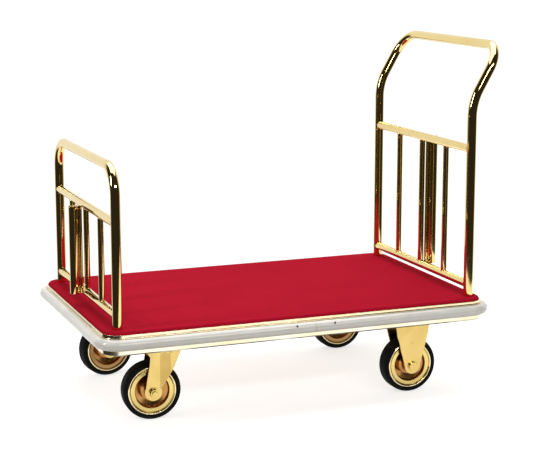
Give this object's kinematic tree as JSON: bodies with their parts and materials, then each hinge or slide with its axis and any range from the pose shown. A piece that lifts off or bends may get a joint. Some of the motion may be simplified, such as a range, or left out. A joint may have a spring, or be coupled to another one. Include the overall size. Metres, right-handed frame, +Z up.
{
  "type": "luggage cart",
  "caption": "Hotel luggage cart: carpeted platform with a rubber bumper, a low brass hoop, a taller leaning handle hoop, and swivel and fixed casters.",
  "frame": {"origin": "on the floor, under the middle of the cart's overall length and width", "axes": "+X along the cart towards the push handle, +Y across it to the far side, +Z up"},
  "size_m": [1.1287, 0.69, 0.9334],
  "materials": {
    "brass": "mirror polished",
    "carpet": "short dense pile",
    "board": "bare plywood",
    "bumper_rubber": "satin light grey",
    "tyre": "satin black rubber",
    "steel": "zinc plated"
  },
  "bodies": {
    "deck": {"deck_board": "board", "carpet": "carpet", "deck_trim": "brass", "frame_skirt": "brass", "bumper": "bumper_rubber", "bumper_screws": "steel", "cross_member_swivel": "steel", "cross_member_fixed": "steel", "side_rail_near": "steel", "side_rail_far": "steel", "hoop_low": "brass", "mid_rail_low": "brass", "bottom_rail_low": "brass", "spindle_low_near": "brass", "spindle_low_middle": "brass", "spindle_low_far": "brass", "pole_socket_low": "brass", "spacer_tube_low": "brass", "hoop_handle": "brass", "mid_rail_handle": "brass", "bottom_rail_handle": "brass", "spindle_handle_near": "brass", "spindle_handle_middle": "brass", "spindle_handle_far": "brass", "pole_socket_handle": "brass", "spacer_tube_handle": "brass", "post_flanges_low": "steel", "post_flanges_handle": "steel", "flange_screws": "steel", "caster_bolts": "steel", "swivel_plate_near": "brass", "kingpin_near": "steel", "swivel_plate_far": "brass", "kingpin_far": "steel", "fixed_bracket_near": "brass", "fixed_axle_near": "brass", "fixed_nut_near": "brass", "fixed_sleeve_near": "steel", "fixed_bracket_far": "brass", "fixed_axle_far": "brass", "fixed_nut_far": "brass", "fixed_sleeve_far": "steel"},
    "swivel_near": {"swivel_fork_near": "brass", "swivel_axle_near": "brass", "swivel_nut_near": "brass", "swivel_sleeve_near": "steel"},
    "swivel_far": {"swivel_fork_far": "brass", "swivel_axle_far": "brass", "swivel_nut_far": "brass", "swivel_sleeve_far": "steel"},
    "wheel_swivel_near": {"swivel_rim_near": "brass", "swivel_tyre_near": "tyre"},
    "wheel_swivel_far": {"swivel_rim_far": "brass", "swivel_tyre_far": "tyre"},
    "wheel_fixed_near": {"fixed_rim_near": "brass", "fixed_tyre_near": "tyre"},
    "wheel_fixed_far": {"fixed_rim_far": "brass", "fixed_tyre_far": "tyre"}
  },
  "joints": [
    {"name": "swivel_near_turn", "type": "hinge", "parent": "deck", "child": "swivel_near", "pos_m": [-0.36335, -0.217, 0.19], "axis": [0, 0, 1], "continuous": true},
    {"name": "swivel_near_roll", "type": "hinge", "parent": "swivel_near", "child": "wheel_swivel_near", "pos_m": [-0.40026, -0.21442, 0.075], "axis": [0.0698, 0.9976, 0], "continuous": true},
    {"name": "swivel_far_turn", "type": "hinge", "parent": "deck", "child": "swivel_far", "pos_m": [-0.36335, 0.217, 0.19], "axis": [0, 0, 1], "continuous": true},
    {"name": "swivel_far_roll", "type": "hinge", "parent": "swivel_far", "child": "wheel_swivel_far", "pos_m": [-0.39989, 0.21121, 0.075], "axis": [-0.1564, 0.9877, 0], "continuous": true},
    {"name": "fixed_near_roll", "type": "hinge", "parent": "deck", "child": "wheel_fixed_near", "pos_m": [0.31365, -0.234, 0.075], "axis": [0, 1, 0], "continuous": true},
    {"name": "fixed_far_roll", "type": "hinge", "parent": "deck", "child": "wheel_fixed_far", "pos_m": [0.31365, 0.234, 0.075], "axis": [0, 1, 0], "continuous": true}
  ]
}
